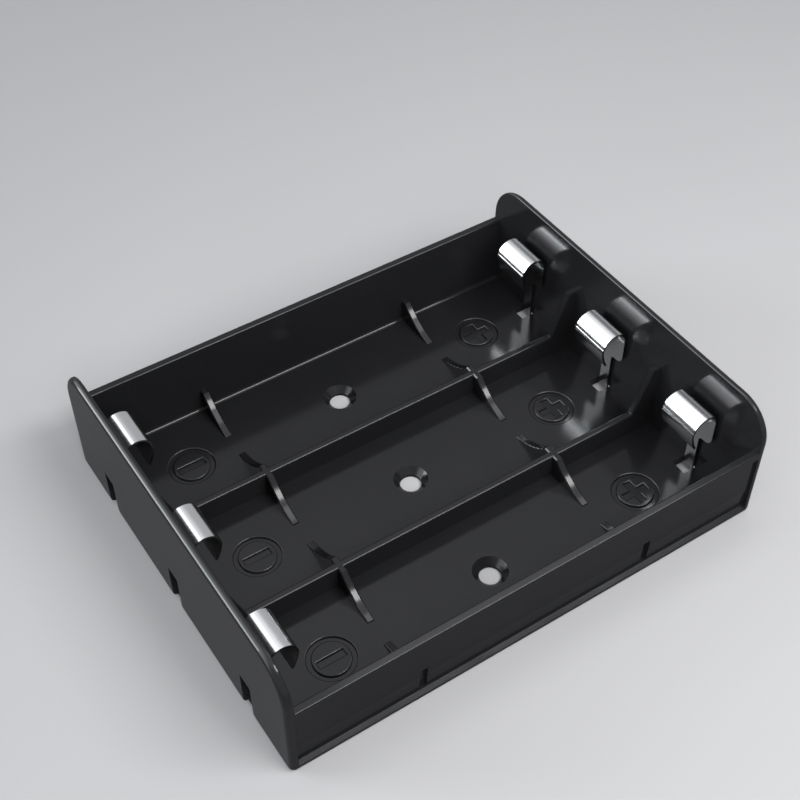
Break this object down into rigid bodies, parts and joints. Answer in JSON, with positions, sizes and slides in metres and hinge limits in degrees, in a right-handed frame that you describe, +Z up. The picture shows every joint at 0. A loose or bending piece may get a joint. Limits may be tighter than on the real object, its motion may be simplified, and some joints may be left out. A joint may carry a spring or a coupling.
{
  "type": "battery holder",
  "caption": "Black moulded battery holder with side-by-side bays for cylindrical cells, spring strip contacts at both ends and countersunk screw holes.",
  "frame": {"origin": "middle of the underside", "axes": "+X along the cells to the plus end, +Y across the bays, +Z up out of the open top"},
  "size_m": [0.083, 0.0672, 0.0222],
  "materials": {
    "housing": "black moulded plastic, satin, fine even surface",
    "contact": "bright nickel plating on spring strip"
  },
  "bodies": {
    "tray": {"housing": "housing"},
    "leaf_plus_1": {"contact_plus_1": "contact"},
    "leaf_plus_2": {"contact_plus_2": "contact"},
    "leaf_plus_3": {"contact_plus_3": "contact"},
    "leaf_minus_1": {"contact_minus_1": "contact"},
    "leaf_minus_2": {"contact_minus_2": "contact"},
    "leaf_minus_3": {"contact_minus_3": "contact"}
  },
  "joints": [
    {"name": "spring_plus_1", "type": "hinge", "parent": "tray", "child": "leaf_plus_1", "pos_m": [0.0394, 0.0216, 0.001], "axis": [0, 1, 0], "range_deg": [0, 1.6], "stiffness_Nm_per_rad": 1},
    {"name": "spring_plus_2", "type": "hinge", "parent": "tray", "child": "leaf_plus_2", "pos_m": [0.0394, 0, 0.001], "axis": [0, 1, 0], "range_deg": [0, 1.6], "stiffness_Nm_per_rad": 1},
    {"name": "spring_plus_3", "type": "hinge", "parent": "tray", "child": "leaf_plus_3", "pos_m": [0.0394, -0.0216, 0.001], "axis": [0, 1, 0], "range_deg": [0, 1.6], "stiffness_Nm_per_rad": 1},
    {"name": "spring_minus_1", "type": "hinge", "parent": "tray", "child": "leaf_minus_1", "pos_m": [-0.0394, 0.0216, 0.001], "axis": [0, -1, 0], "range_deg": [0, 1.6], "stiffness_Nm_per_rad": 1},
    {"name": "spring_minus_2", "type": "hinge", "parent": "tray", "child": "leaf_minus_2", "pos_m": [-0.0394, 0, 0.001], "axis": [0, -1, 0], "range_deg": [0, 1.6], "stiffness_Nm_per_rad": 1},
    {"name": "spring_minus_3", "type": "hinge", "parent": "tray", "child": "leaf_minus_3", "pos_m": [-0.0394, -0.0216, 0.001], "axis": [0, -1, 0], "range_deg": [0, 1.6], "stiffness_Nm_per_rad": 1}
  ]
}
